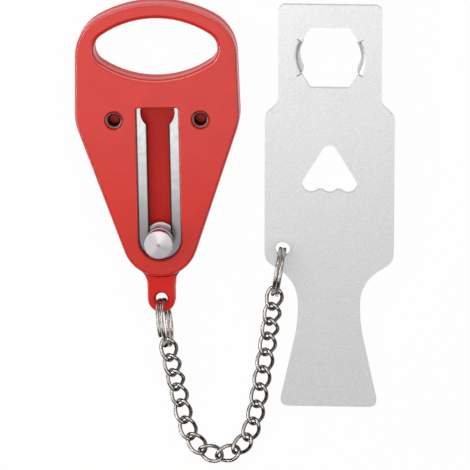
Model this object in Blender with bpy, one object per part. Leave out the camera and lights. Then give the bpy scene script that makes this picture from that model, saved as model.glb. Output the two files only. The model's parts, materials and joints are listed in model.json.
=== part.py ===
"""Portable door lock: a red slotted handle with a sliding lock pin, a steel strike
plate with two ears, and the curb chain that keeps the two together.

The pieces lie on a table as they do after use. X runs to the right, Y up along
the handle, Z off the table. The origin is on the table, under the middle of the
whole lock.
"""

import math

import bmesh
import bpy
from mathutils import Matrix, Vector

MM = 0.001

# Clearances and fineness
GAP = 0.3 * MM
OVERRUN = 1.0 * MM
ARC_STEP = math.radians(10.0)
ARC_CHORD = 2.6 * MM
FILLET_STEPS = 3
TURNED_SIDES = 32
RIVET_SIDES = 24
SMOOTH_ANGLE = math.radians(32.0)

# Lock pin, turned from one bar: radii and lengths from the flange upwards
FLANGE_RADIUS = 5.3 * MM
FLANGE_THICKNESS = 1.5 * MM
SHAFT_RADIUS = 3.35 * MM
LOWER_COLLAR_RADIUS = 4.2 * MM
LOWER_COLLAR_LENGTH = 1.5 * MM
COLLAR_GROOVE_RADIUS = 3.2 * MM
COLLAR_GROOVE_LENGTH = 0.8 * MM
UPPER_COLLAR_RADIUS = 4.6 * MM
UPPER_COLLAR_LENGTH = 1.5 * MM
NECK_RADIUS = 2.75 * MM
NECK_LENGTH = 3.1 * MM
HEAD_RADIUS = 4.9 * MM
HEAD_LENGTH = 3.6 * MM
HEAD_CONE_DEPTH = 0.35 * MM
DIMPLE_RADIUS = 0.45 * MM
DIMPLE_DEPTH = 0.25 * MM
TURNED_CHAMFER = 0.3 * MM

# Handle: heights along it are measured from the closed end of the slot
HANDLE_TURN = math.radians(0.9)
HANDLE_REACH = 82.0 * MM
HANDLE_THICKNESS = 10.0 * MM
BACK_THICKNESS = 5.0 * MM
TAPER = math.radians(19.3)
SIDE_FLARE = math.radians(1.5)
CORNER_RADIUS = 17.6 * MM
SHOULDER_RADIUS = 15.3 * MM
TOP_RADIUS = 40.5 * MM
FRONT_FILLET = 1.2 * MM
BACK_FILLET = 0.8 * MM

# Finger hole
TOP_RIM = 5.5 * MM
FINGER_HALF_WIDTH = 20.9 * MM
FINGER_HALF_HEIGHT = 10.4 * MM
FINGER_END_RADIUS = 5.8 * MM
FINGER_FRONT_FILLET = 1.6 * MM
FINGER_BACK_FILLET = 0.8 * MM
FINGER_HEIGHT = HANDLE_REACH - TOP_RIM - FINGER_HALF_HEIGHT

# Window over the slot, and the round end of the body that follows it
BRIDGE = 10.0 * MM
WINDOW_SIDE = 2.4 * MM
WINDOW_CORNER = 1.0 * MM
WINDOW_FILLET = 0.6 * MM
END_WALL = 5.65 * MM
WINDOW_HALF_WIDTH = HEAD_RADIUS + WINDOW_SIDE
WINDOW_TOP = FINGER_HEIGHT - FINGER_HALF_HEIGHT - BRIDGE
END_RADIUS = WINDOW_HALF_WIDTH + END_WALL
CORNER_DROP = 4.7 * MM
CORNER_HEIGHT = WINDOW_TOP - CORNER_DROP

# Steel slide plate between the shells
SLIDE_THICKNESS = 2.0 * MM
SLIDE_LAP = 3.0 * MM
SLIDE_TOP_LAP = 6.7 * MM
SLIDE_SHOULDER = 5.7 * MM
SLIDE_WING = 3.9 * MM
SLIDE_CORNER = 1.5 * MM
SLIDE_WING_CORNER = 3.0 * MM
KEYHOLE_DROP = 1.8 * MM
KEYHOLE_PLAY = 0.5 * MM
SLOT_HALF_WIDTH = SHAFT_RADIUS + GAP
KEYHOLE_RADIUS = FLANGE_RADIUS + KEYHOLE_PLAY
KEYHOLE_HEIGHT = WINDOW_TOP - KEYHOLE_DROP

# Hollow rivets
RIVET_OFFSET = 14.7 * MM
RIVET_DROP = 2.3 * MM
RIVET_BORE = 1.85 * MM
RIVET_TUBE_RADIUS = 2.2 * MM
RIVET_RIM_RADIUS = 2.8 * MM
RIVET_RIM = 0.5 * MM
RIVET_SINK = 0.5 * MM
RIVET_HEIGHT = KEYHOLE_HEIGHT - RIVET_DROP

# Lug for the chain
LUG_HALF_WIDTH = 4.75 * MM
LUG_NECK_FILLET = 6.5 * MM
LUG_REACH = 20.9 * MM
LUG_BOTTOM = 4.6 * MM
LUG_TOP = 8.4 * MM
LUG_FILLET = 0.7 * MM
LUG_UNDERCUT = 4.0 * MM
LUG_UNDERCUT_RADIUS = 1.2 * MM
LUG_HOLE_PLAY = 0.8 * MM
LUG_SINK = 0.9 * MM
LUG_THROAT_HALF = 0.8 * MM

# Split rings: two turns of round wire
RING_WIRE_RADIUS = 0.475 * MM
RING_OUTER_RADIUS = 8.5 * MM
RING_TURN_SPACING = 1.38 * MM
RING_JOG = math.radians(44.0)
RING_END_PLAY = math.radians(3.0)
RING_SPLIT_PLACE = math.radians(68.0)
RING_STEPS_PER_TURN = 30
RING_CENTRE_RADIUS = RING_OUTER_RADIUS - RING_WIRE_RADIUS
RING_HALF_WIDTH = RING_TURN_SPACING / 2 + RING_WIRE_RADIUS

# Curb chain: each link is an oval of wire, twisted end to end
LINK_COUNT = 19
LINK_PITCH = 6.2 * MM
LINK_WIRE_RADIUS = 0.63 * MM
LINK_HALF_WIDTH = 2.6 * MM
LINK_ROUNDING = 0.87
LINK_TWIST = math.radians(46.0)
LINK_ROLL = math.radians(10.0)
LINK_PLAY = 0.55 * MM
LINK_STEPS = 20
LINK_HALF_LENGTH = (LINK_PITCH + 2 * LINK_WIRE_RADIUS + LINK_PLAY) / 2

# Strike plate: heights along it are measured from its tail
PLATE_LENGTH = 141.8 * MM
PLATE_HALF_WIDTH = 22.0 * MM
PLATE_THICKNESS = 2.0 * MM
HEAD_HALF_WIDTH = 17.5 * MM
WAIST_HALF_WIDTH = 10.6 * MM
TAIL_HALF_WIDTH = 17.0 * MM
PLATE_CORNER = 2.4 * MM
SHOULDER_FILLET = 4.0 * MM
HIP_FILLET = 5.0 * MM
HIP_SWEEP = 13.8 * MM
WAIST_SWEEP = 54.0 * MM
WAIST_LOW_SHARE = 0.207
WAIST_HIGH_SHARE = 0.314
HIP_SHARE = 0.365
SHOULDER_LOW_SHARE = 0.728
SHOULDER_HIGH_SHARE = 0.756
PIN_HOLE_SHARE = 0.5575
LATCH_HOLE_SHARE = 0.870
RING_HOLE_SHARE = 0.394
RING_HOLE_EDGE = 6.2 * MM
RING_HOLE_PLAY = 1.34 * MM

# Latch hole and its two ears
EAR_OUTER_RADIUS = 12.45 * MM
EAR_HALF_ANGLE = math.radians(29.0)
EAR_NOTCH_ANGLE = math.radians(1.8)
EAR_LENGTH = 7.5 * MM
EAR_ROOT = 0.9 * MM
EAR_TIP_CHAMFER = 0.4 * MM
LATCH_FLAT_HALF_WIDTH = 6.3 * MM
LATCH_HALF_HEIGHT = 10.54 * MM
LATCH_CORNER = 0.6 * MM
LATCH_CORNER_REACH = 11.2 * MM
LATCH_CLEAR = EAR_OUTER_RADIUS + EAR_ROOT / 2

# Pin hole: the head passes its middle, the neck seats in one of three scallops
SCALLOP_RADIUS = NECK_RADIUS + GAP
SCALLOP_SPACING_SHARE = 1.276
PIN_HOLE_RISE_SHARE = 2.28
PIN_HOLE_APEX_SHARE = 0.53
SCALLOP_DROP_SHARE = 0.656
SCALLOP_SPACING = HEAD_RADIUS * SCALLOP_SPACING_SHARE
PIN_HOLE_RISE = HEAD_RADIUS * PIN_HOLE_RISE_SHARE
PIN_HOLE_APEX = HEAD_RADIUS * PIN_HOLE_APEX_SHARE
SCALLOP_DROP = SCALLOP_RADIUS * SCALLOP_DROP_SHARE

# Where the pieces lie on the table
PLATE_PLACE = Vector((56.9 * MM, -59.6 * MM, 0))
PLATE_TURN = math.radians(-0.55)
HANDLE_RING_HEADING = math.radians(8.5)
HANDLE_RING_LEAN = math.radians(6.0)
HANDLE_RING_SEAT = 0.5 * MM
PLATE_RING_HEADING = math.radians(-9.8)
PLATE_RING_LEAN = 0
PLATE_RING_SEAT = 0.45 * MM
CHAIN_DROP_LENGTH = 27.0 * MM
CHAIN_START_HEADING = math.radians(-83.0)
CHAIN_BEND = math.radians(166.0)
BEND_LINKS = 4.3
SIDE_TURN_SHARE = 0.01
SOLVER_NUDGE = 0.001
SOLVER_STEPS = 12

FRONT_BOTTOM = BACK_THICKNESS + GAP
SLIDE_BOTTOM = FRONT_BOTTOM
SLIDE_TOP = SLIDE_BOTTOM + SLIDE_THICKNESS
POCKET_TOP = SLIDE_TOP + GAP
FLANGE_TOP = SLIDE_BOTTOM - GAP
CHANNEL_FLOOR = FLANGE_TOP - FLANGE_THICKNESS - 5 * GAP


def clear_scene():
    """Start from an empty scene."""
    for thing in list(bpy.data.objects):
        bpy.data.objects.remove(thing, do_unlink=True)


def material(name, color, roughness, metallic):
    """A Principled material for one piece."""
    made = bpy.data.materials.new(name)
    made.use_nodes = True
    shader = made.node_tree.nodes["Principled BSDF"]
    shader.inputs["Base Color"].default_value = (*color, 1.0)
    shader.inputs["Roughness"].default_value = roughness
    shader.inputs["Metallic"].default_value = metallic
    made.diffuse_color = (*color, 1.0)
    return made


def add_object(name, data, parent=None):
    """Link new object data into the scene."""
    made = bpy.data.objects.new(name, data)
    bpy.context.scene.collection.objects.link(made)
    made.parent = parent
    return made


def finish_mesh(name, mesh_builder, parent=None):
    """Turn a bmesh into a smooth-shaded object with its sharp edges kept."""
    bmesh.ops.recalc_face_normals(mesh_builder, faces=mesh_builder.faces)
    mesh = bpy.data.meshes.new(name)
    mesh_builder.to_mesh(mesh)
    mesh_builder.free()
    mesh.shade_smooth()
    mesh.set_sharp_from_angle(angle=SMOOTH_ANGLE)
    return add_object(name, mesh, parent)


def hide_tool(tool):
    """A tool body shapes another piece and is not a piece itself."""
    tool.hide_render = True
    tool.display_type = "WIRE"


def combine(target, tool, operation="DIFFERENCE"):
    """Cut the tool out of the target, or join it on."""
    hide_tool(tool)
    step = target.modifiers.new(tool.name, "BOOLEAN")
    step.operation = operation
    step.solver = "EXACT"
    step.object = tool


def arc(x, y, radius, start, end):
    """One arc of an outline. It turns left where end is larger than start."""
    return (x, y, radius, start, end)


def sharp_corner(x, y):
    """A corner of an outline without any rounding."""
    return arc(x, y, 0, 0, 0)


def outline_points(arcs, offset=0):
    """Points along an outline of arcs, moved outwards by an offset."""
    points = []
    for x, y, radius, start, end in arcs:
        turn = end - start
        steps = max(math.ceil(abs(turn) / ARC_STEP), math.ceil(abs(turn) * radius / ARC_CHORD), 1)
        grown = radius + math.copysign(offset, turn) if offset > 0 else radius - math.copysign(-offset, turn)
        for index in range(steps + 1):
            angle = start + turn * index / steps
            points.append((x + grown * math.cos(angle), y + grown * math.sin(angle)))
    return points


def rounded_polygon(corners):
    """Arcs of a left-turning polygon whose corners (x, y, radius) are rounded."""
    arcs = []
    for index, (x, y, radius) in enumerate(corners):
        here = Vector((x, y))
        before = here - Vector(corners[index - 1][:2])
        after = Vector(corners[(index + 1) % len(corners)][:2]) - here
        turn = math.atan2(before.cross(after), before.dot(after))
        start = here - before.normalized() * radius * math.tan(abs(turn) / 2)
        side = math.copysign(1.0, turn)
        normal = Vector((-before.y, before.x)).normalized() * side
        centre = start + normal * radius
        first = math.atan2(-normal.y, -normal.x)
        arcs.append(arc(centre.x, centre.y, radius, first, first + turn))
    return arcs


def mirrored(corners):
    """Complete a right half, listed upwards, with its mirror image."""
    left = [(-x, y, radius) for x, y, radius in reversed(corners)]
    return corners + left


def circle(x, y, radius):
    """A full circle as an outline; its last point meets the first."""
    quarter = math.pi / 2
    return [arc(x, y, radius, quarter * turn, quarter * (turn + 1)) for turn in range(4)]


def loft(name, arcs, levels, parent=None):
    """Stack copies of an outline at levels of (height, offset) and close both ends."""
    builder = bmesh.new()
    base = outline_points(arcs)
    keep = [index for index in range(len(base)) if index == 0 or math.dist(base[index], base[index - 1]) > GAP / 100]
    if math.dist(base[keep[0]], base[keep[-1]]) < GAP / 100:
        keep.pop()
    rings = []
    for height, offset in levels:
        points = outline_points(arcs, offset)
        rings.append([builder.verts.new((*points[index], height)) for index in keep])
    for lower, upper in zip(rings, rings[1:]):
        for index in range(len(lower)):
            nearby = (index + 1) % len(lower)
            builder.faces.new((lower[index], lower[nearby], upper[nearby], upper[index]))
    builder.faces.new(reversed(rings[0]))
    builder.faces.new(rings[-1])
    return finish_mesh(name, builder, parent)


def rounded_rim(height, size, rising, flare=1):
    """Levels that round a rim off: inwards on a body, outwards (flare -1) on a cutter."""
    levels = []
    for index in range(FILLET_STEPS + 1):
        angle = math.pi / 2 * index / FILLET_STEPS
        drop = size * (1 - math.sin(angle))
        inset = size * (1 - math.cos(angle))
        levels.append((height - rising * drop, -flare * inset))
    return levels if rising > 0 else list(reversed(levels))


def turned(name, profile, sides, parent=None, closed=False):
    """Revolve a profile of (radius, height) about Z. A closed profile makes a ring."""
    builder = bmesh.new()
    rings = []
    for radius, height in profile:
        if radius == 0:
            rings.append([builder.verts.new((0, 0, height))])
            continue
        around = [2 * math.pi * index / sides for index in range(sides)]
        rings.append([builder.verts.new((radius * math.cos(a), radius * math.sin(a), height)) for a in around])
    pairs = list(zip(rings, rings[1:]))
    if closed:
        pairs.append((rings[-1], rings[0]))
    for lower, upper in pairs:
        for index in range(sides):
            nearby = (index + 1) % sides
            if len(lower) == 1:
                builder.faces.new((lower[0], upper[nearby], upper[index]))
            elif len(upper) == 1:
                builder.faces.new((lower[index], lower[nearby], upper[0]))
            else:
                builder.faces.new((lower[index], lower[nearby], upper[nearby], upper[index]))
    return finish_mesh(name, builder, parent)


def wire(name, points, radius, closed=False):
    """A curve of round wire through the points."""
    data = bpy.data.curves.new(name, "CURVE")
    data.dimensions = "3D"
    data.bevel_depth = radius
    data.bevel_resolution = 1
    data.use_fill_caps = True
    spline = data.splines.new("POLY")
    spline.points.add(len(points) - 1)
    for place, point in zip(spline.points, points):
        place.co = (*point, 1.0)
    spline.use_cyclic_u = closed
    spline.use_smooth = True
    return data


def body_arcs(with_lug):
    """Outline of the handle's body, with or without the lug, from the round end leftwards round."""
    down_left = math.pi + TAPER
    down_right = 2 * math.pi - TAPER
    if with_lug:
        arcs = lug_arcs(down_left, down_right)
    else:
        arcs = [arc(0, 0, END_RADIUS, down_left, down_right)]
    corner_half = (END_RADIUS + CORNER_HEIGHT * math.sin(TAPER)) / math.cos(TAPER)
    side = corner_half * math.cos(SIDE_FLARE) + CORNER_HEIGHT * math.sin(SIDE_FLARE)
    corner = meet_offsets(-TAPER, END_RADIUS - CORNER_RADIUS, SIDE_FLARE, side - CORNER_RADIUS)
    top_centre = HANDLE_REACH - TOP_RADIUS
    across = side - SHOULDER_RADIUS - top_centre * math.sin(SIDE_FLARE)
    along = math.sqrt((TOP_RADIUS - SHOULDER_RADIUS) ** 2 - across ** 2)
    shoulder_x = across * math.cos(SIDE_FLARE) - along * math.sin(SIDE_FLARE)
    shoulder_y = top_centre + across * math.sin(SIDE_FLARE) + along * math.cos(SIDE_FLARE)
    crown = math.atan2(shoulder_y - top_centre, shoulder_x)
    arcs.append(arc(corner.x, corner.y, CORNER_RADIUS, -TAPER, SIDE_FLARE))
    arcs.append(arc(shoulder_x, shoulder_y, SHOULDER_RADIUS, SIDE_FLARE, crown))
    arcs.append(arc(0, top_centre, TOP_RADIUS, crown, math.pi - crown))
    arcs.append(arc(-shoulder_x, shoulder_y, SHOULDER_RADIUS, math.pi - crown, math.pi - SIDE_FLARE))
    arcs.append(arc(-corner.x, corner.y, CORNER_RADIUS, math.pi - SIDE_FLARE, math.pi + TAPER))
    return arcs


def meet_offsets(first_angle, first_distance, second_angle, second_distance):
    """Where two lines meet, each given by its normal's angle and distance from the origin."""
    first = Vector((math.cos(first_angle), math.sin(first_angle)))
    second = Vector((math.cos(second_angle), math.sin(second_angle)))
    spread = first.cross(second)
    x = (first_distance * second.y - second_distance * first.y) / spread
    y = (second_distance * first.x - first_distance * second.x) / spread
    return Vector((x, y))


def lug_arcs(down_left, down_right):
    """The round end of the body running out into the lug and back."""
    reach = END_RADIUS + LUG_NECK_FILLET
    x = LUG_HALF_WIDTH + LUG_NECK_FILLET
    y = -math.sqrt(reach ** 2 - x ** 2)
    lean = math.atan2(-y, x)
    return [
        arc(0, 0, END_RADIUS, down_left, math.pi + lean),
        arc(-x, y, LUG_NECK_FILLET, lean, 0),
        arc(0, -LUG_REACH, LUG_HALF_WIDTH, math.pi, 2 * math.pi),
        arc(x, y, LUG_NECK_FILLET, math.pi, math.pi - lean),
        arc(0, 0, END_RADIUS, 2 * math.pi - lean, down_right),
    ]


def finger_arcs():
    """Lens-shaped finger hole: two wide arcs and two end arcs, all tangent."""
    end_x = FINGER_HALF_WIDTH - FINGER_END_RADIUS
    across = FINGER_END_RADIUS ** 2 - FINGER_HALF_HEIGHT ** 2 - end_x ** 2
    wide = across / (2 * FINGER_END_RADIUS - 2 * FINGER_HALF_HEIGHT)
    shift = wide - FINGER_HALF_HEIGHT
    meet = math.atan2(shift, end_x)
    return [
        arc(end_x, FINGER_HEIGHT, FINGER_END_RADIUS, -meet, meet),
        arc(0, FINGER_HEIGHT - shift, wide, meet, math.pi - meet),
        arc(-end_x, FINGER_HEIGHT, FINGER_END_RADIUS, math.pi - meet, math.pi + meet),
        arc(0, FINGER_HEIGHT + shift, wide, math.pi + meet, 2 * math.pi - meet),
    ]


def window_arcs():
    """Window over the slot: square top, round closed end."""
    return rounded_polygon(mirrored([
        (WINDOW_HALF_WIDTH, -WINDOW_HALF_WIDTH, WINDOW_HALF_WIDTH),
        (WINDOW_HALF_WIDTH, WINDOW_TOP, WINDOW_CORNER),
    ]))


def slide_arcs():
    """Outline of the slide plate: a strip with a wing for each rivet."""
    half = WINDOW_HALF_WIDTH + SLIDE_LAP
    wing = RIVET_OFFSET + SLIDE_WING
    low = RIVET_HEIGHT - SLIDE_SHOULDER
    high = WINDOW_TOP + SLIDE_TOP_LAP
    return rounded_polygon(mirrored([
        (half, -half, half),
        (half, low, SLIDE_CORNER),
        (wing, low, SLIDE_WING_CORNER),
        (wing, high, SLIDE_WING_CORNER),
    ]))


def keyhole_arcs():
    """Slot for the pin's shaft, opening into the hole that its flange passed on assembly."""
    mouth = math.asin(SLOT_HALF_WIDTH / KEYHOLE_RADIUS)
    first = mouth - math.pi / 2
    last = 3 * math.pi / 2 - mouth
    return [
        arc(0, 0, SLOT_HALF_WIDTH, math.pi, 2 * math.pi),
        arc(0, KEYHOLE_HEIGHT, KEYHOLE_RADIUS, first, last),
    ]


def channel_arcs():
    """Channel in the back shell where the pin's flange runs."""
    half = FLANGE_RADIUS + GAP
    return [
        arc(0, 0, half, math.pi, 2 * math.pi),
        arc(0, KEYHOLE_HEIGHT, half, 0, math.pi),
    ]


def rivet_places():
    """Both rivet axes, left and right."""
    return [("left", -RIVET_OFFSET), ("right", RIVET_OFFSET)]


def finger_cutter(name, parent):
    """Cutter for the finger hole, flared at the front and back rims."""
    back = rounded_rim(0, FINGER_BACK_FILLET, -1, -1)
    front = rounded_rim(HANDLE_THICKNESS, FINGER_FRONT_FILLET, 1, -1)
    return loft(name, finger_arcs(), back + front, parent)


def front_shell(handle, paint):
    """Front half of the handle, with the window and the seats for plate and rivets."""
    levels = [(FRONT_BOTTOM, 0)] + rounded_rim(HANDLE_THICKNESS, FRONT_FILLET, 1)
    shell = loft("front_shell", body_arcs(False), levels, handle)
    pocket = [(FRONT_BOTTOM - OVERRUN, GAP), (POCKET_TOP, GAP)]
    combine(shell, loft("pocket_tool", slide_arcs(), pocket, handle))
    window = [(SLIDE_BOTTOM, 0)] + rounded_rim(HANDLE_THICKNESS, WINDOW_FILLET, 1, -1)
    combine(shell, loft("window_tool", window_arcs(), window, handle))
    combine(shell, finger_cutter("finger_front_tool", handle))
    seat = HANDLE_THICKNESS - RIVET_SINK - RIVET_RIM - GAP
    for side, x in rivet_places():
        hole = circle(x, RIVET_HEIGHT, RIVET_TUBE_RADIUS + GAP)
        through = [(FRONT_BOTTOM, 0), (HANDLE_THICKNESS + OVERRUN, 0)]
        combine(shell, loft(f"rivet_hole_{side}_tool", hole, through, handle))
        rim = circle(x, RIVET_HEIGHT, RIVET_RIM_RADIUS + GAP)
        sink = [(seat, 0), (HANDLE_THICKNESS - GAP, 0), (HANDLE_THICKNESS + GAP, 2 * GAP)]
        combine(shell, loft(f"rivet_sink_{side}_tool", rim, sink, handle))
    shell.data.materials.append(paint)


def back_shell(handle, paint):
    """Back half of the handle, with the pin's channel and the chain lug."""
    levels = rounded_rim(0, BACK_FILLET, -1) + rounded_rim(LUG_TOP, LUG_FILLET, 1)
    shell = loft("back_shell", body_arcs(True), levels, handle)
    over = [(BACK_THICKNESS, GAP), (LUG_TOP + OVERRUN, GAP)]
    combine(shell, loft("parting_tool", body_arcs(False), over, handle))
    combine(shell, finger_cutter("finger_back_tool", handle))
    channel = [(CHANNEL_FLOOR, 0), (BACK_THICKNESS + OVERRUN, 0)]
    combine(shell, loft("channel_tool", channel_arcs(), channel, handle))
    for side, x in rivet_places():
        rim = circle(x, RIVET_HEIGHT, RIVET_RIM_RADIUS + GAP)
        sink = [(FLANGE_TOP - RIVET_RIM - GAP, 0), (BACK_THICKNESS + OVERRUN, 0)]
        combine(shell, loft(f"rivet_foot_{side}_tool", rim, sink, handle))
    combine(shell, lug_undercut(handle))
    combine(shell, lug_hole(handle))
    shell.data.materials.append(paint)


def lug_undercut(handle):
    """Room under the lug for the split ring to swing."""
    near = LUG_UNDERCUT - LUG_REACH
    far = near - LUG_HALF_WIDTH * 2 - LUG_UNDERCUT - OVERRUN
    half = LUG_HALF_WIDTH + LUG_NECK_FILLET
    corners = [
        (far, -OVERRUN, LUG_UNDERCUT_RADIUS / 2),
        (near, -OVERRUN, LUG_UNDERCUT_RADIUS / 2),
        (near, LUG_BOTTOM, LUG_UNDERCUT_RADIUS),
        (far, LUG_BOTTOM, LUG_UNDERCUT_RADIUS / 2),
    ]
    tool = loft("lug_undercut_tool", rounded_polygon(corners), [(-half, 0), (half, 0)], handle)
    tool.data.transform(Matrix(((0, 0, 1, 0), (1, 0, 0, 0), (0, 1, 0, 0), (0, 0, 0, 1))))
    return tool


def lug_hole(handle):
    """Hole for the split ring, countersunk from both faces."""
    throat = RING_HALF_WIDTH + LUG_HOLE_PLAY
    middle = (LUG_BOTTOM + LUG_TOP) / 2
    levels = [
        (LUG_BOTTOM - OVERRUN, LUG_SINK),
        (LUG_BOTTOM, LUG_SINK),
        (middle - LUG_THROAT_HALF, 0),
        (middle + LUG_THROAT_HALF, 0),
        (LUG_TOP, LUG_SINK),
        (LUG_TOP + OVERRUN, LUG_SINK),
    ]
    return loft("lug_hole_tool", circle(0, -LUG_REACH, throat), levels, handle)


def slide_plate(handle, steel):
    """Steel plate that carries the pin, its slot ending in a keyhole."""
    plate = loft("slide_plate", slide_arcs(), [(SLIDE_BOTTOM, 0), (SLIDE_TOP, 0)], handle)
    through = [(SLIDE_BOTTOM - OVERRUN, 0), (SLIDE_TOP + OVERRUN, 0)]
    combine(plate, loft("keyhole_tool", keyhole_arcs(), through, handle))
    for side, x in rivet_places():
        hole = circle(x, RIVET_HEIGHT, RIVET_TUBE_RADIUS + GAP)
        combine(plate, loft(f"slide_rivet_{side}_tool", hole, through, handle))
    plate.data.materials.append(steel)


def rivet(side, x, handle, steel):
    """Hollow rivet that clamps the slide plate under the front shell."""
    top = HANDLE_THICKNESS - RIVET_SINK
    rim = top - RIVET_RIM
    foot = FLANGE_TOP - RIVET_RIM
    half = RIVET_RIM / 2
    lip = RIVET_RIM_RADIUS - half
    profile = [
        (RIVET_BORE, foot),
        (lip, foot),
        (RIVET_RIM_RADIUS, foot + half),
        (lip, FLANGE_TOP),
        (RIVET_TUBE_RADIUS, FLANGE_TOP),
        (RIVET_TUBE_RADIUS, rim),
        (lip, rim),
        (RIVET_RIM_RADIUS, rim + half),
        (lip, top),
        (RIVET_BORE + half, top),
        (RIVET_BORE, rim),
    ]
    made = turned(f"rivet_{side}", profile, RIVET_SIDES, handle, closed=True)
    made.location = (x, RIVET_HEIGHT, 0)
    made.data.materials.append(steel)


def stacked(profile, radius, length, chamfer=0):
    """Add one turned step on top of the profile."""
    height = profile[-1][1]
    profile.append((radius - chamfer, height))
    if chamfer:
        profile.append((radius, height + chamfer))
        profile.append((radius, height + length - chamfer))
    profile.append((radius - chamfer, height + length))


def locking_pin(handle, steel):
    """Turned pin: flange, shaft, two collars, neck and knob head, on the slide axis."""
    bottom = FLANGE_TOP - FLANGE_THICKNESS
    profile = [(0, bottom)]
    stacked(profile, FLANGE_RADIUS, FLANGE_THICKNESS, TURNED_CHAMFER)
    stacked(profile, SHAFT_RADIUS, SLIDE_THICKNESS + 2 * GAP)
    stacked(profile, LOWER_COLLAR_RADIUS, LOWER_COLLAR_LENGTH, TURNED_CHAMFER)
    stacked(profile, COLLAR_GROOVE_RADIUS, COLLAR_GROOVE_LENGTH)
    stacked(profile, UPPER_COLLAR_RADIUS, UPPER_COLLAR_LENGTH, TURNED_CHAMFER)
    stacked(profile, NECK_RADIUS, NECK_LENGTH)
    stacked(profile, HEAD_RADIUS, HEAD_LENGTH, TURNED_CHAMFER)
    top = profile[-1][1]
    profile.append((DIMPLE_RADIUS, top - HEAD_CONE_DEPTH))
    profile.append((0, top - HEAD_CONE_DEPTH - DIMPLE_DEPTH))
    pin = turned("locking_pin", profile, TURNED_SIDES, handle)
    pin.data.materials.append(steel)


def plate_arcs():
    """Outline of the strike plate."""
    return rounded_polygon(mirrored([
        (TAIL_HALF_WIDTH, 0, PLATE_CORNER),
        (WAIST_HALF_WIDTH, PLATE_LENGTH * WAIST_LOW_SHARE, WAIST_SWEEP),
        (WAIST_HALF_WIDTH, PLATE_LENGTH * WAIST_HIGH_SHARE, HIP_SWEEP),
        (PLATE_HALF_WIDTH, PLATE_LENGTH * HIP_SHARE, HIP_FILLET),
        (PLATE_HALF_WIDTH, PLATE_LENGTH * SHOULDER_LOW_SHARE, SHOULDER_FILLET),
        (HEAD_HALF_WIDTH, PLATE_LENGTH * SHOULDER_HIGH_SHARE, SHOULDER_FILLET),
        (HEAD_HALF_WIDTH, PLATE_LENGTH, PLATE_CORNER),
    ]))


def latch_arcs():
    """Hole for the latch bolt: flats above and below, an arc and two slits behind each ear."""
    centre = PLATE_LENGTH * LATCH_HOLE_SHARE
    reach = EAR_HALF_ANGLE + EAR_NOTCH_ANGLE
    flat = LATCH_FLAT_HALF_WIDTH
    high = centre + LATCH_HALF_HEIGHT
    low = centre - LATCH_HALF_HEIGHT
    x = LATCH_CORNER_REACH * math.cos(reach)
    y = LATCH_CORNER_REACH * math.sin(reach)
    lean = math.atan2(LATCH_HALF_HEIGHT - y, x - flat)
    square = math.pi / 2
    return [
        arc(0, centre, LATCH_CLEAR, -reach, reach),
        sharp_corner(x, centre + y),
        arc(flat, high - LATCH_CORNER, LATCH_CORNER, square - lean, square),
        arc(-flat, high - LATCH_CORNER, LATCH_CORNER, square, square + lean),
        sharp_corner(-x, centre + y),
        arc(0, centre, LATCH_CLEAR, math.pi - reach, math.pi + reach),
        sharp_corner(-x, centre - y),
        arc(-flat, low + LATCH_CORNER, LATCH_CORNER, 3 * square - lean, 3 * square),
        arc(flat, low + LATCH_CORNER, LATCH_CORNER, 3 * square, 3 * square + lean),
        sharp_corner(x, centre - y),
    ]


def pin_hole_arcs():
    """Rounded triangle that the knob passes, with three scallops along its foot."""
    foot = PLATE_LENGTH * PIN_HOLE_SHARE
    flank = Vector((SCALLOP_SPACING, -PIN_HOLE_RISE))
    lean = math.acos((PIN_HOLE_APEX - SCALLOP_RADIUS) / flank.length)
    side = math.atan2(flank.y, flank.x) + lean
    chord = math.asin(SCALLOP_DROP / SCALLOP_RADIUS)
    lower = 2 * math.pi - chord
    return [
        arc(0, foot + PIN_HOLE_RISE, PIN_HOLE_APEX, side, math.pi - side),
        arc(-SCALLOP_SPACING, foot, SCALLOP_RADIUS, math.pi - side, lower),
        arc(0, foot, SCALLOP_RADIUS, math.pi + chord, lower),
        arc(SCALLOP_SPACING, foot, SCALLOP_RADIUS, math.pi + chord, 2 * math.pi + side),
    ]


def ear_tool(side, middle_angle):
    """One ear: a bend off the plate's face and a curved tab square to it."""
    inner = EAR_OUTER_RADIUS - PLATE_THICKNESS
    root = EAR_OUTER_RADIUS + EAR_ROOT
    profile = [
        (root, 0),
        (EAR_OUTER_RADIUS, 0),
        (EAR_OUTER_RADIUS, EAR_TIP_CHAMFER - EAR_LENGTH),
        (EAR_OUTER_RADIUS - EAR_TIP_CHAMFER, -EAR_LENGTH),
        (inner + EAR_TIP_CHAMFER, -EAR_LENGTH),
        (inner, EAR_TIP_CHAMFER - EAR_LENGTH),
    ]
    bend_steps = 2 * FILLET_STEPS
    for index in range(bend_steps + 1):
        angle = math.pi / 2 * index / bend_steps
        across = EAR_OUTER_RADIUS - PLATE_THICKNESS * math.cos(angle)
        profile.append((across, PLATE_THICKNESS * math.sin(angle)))
    profile.append((root, PLATE_THICKNESS))
    builder = bmesh.new()
    steps = math.ceil(2 * EAR_HALF_ANGLE / ARC_STEP)
    rings = []
    for index in range(steps + 1):
        angle = middle_angle - EAR_HALF_ANGLE + 2 * EAR_HALF_ANGLE * index / steps
        turn = Vector((math.cos(angle), math.sin(angle), 0))
        rings.append([builder.verts.new(turn * across + Vector((0, 0, height))) for across, height in profile])
    for first, second in zip(rings, rings[1:]):
        for index in range(len(profile)):
            builder.faces.new((first[index - 1], first[index], second[index], second[index - 1]))
    builder.faces.new(rings[0])
    builder.faces.new(reversed(rings[-1]))
    tool = finish_mesh(f"ear_{side}_tool", builder)
    tool.data.transform(Matrix.Translation((0, PLATE_LENGTH * LATCH_HOLE_SHARE, 0)))
    return tool


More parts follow.
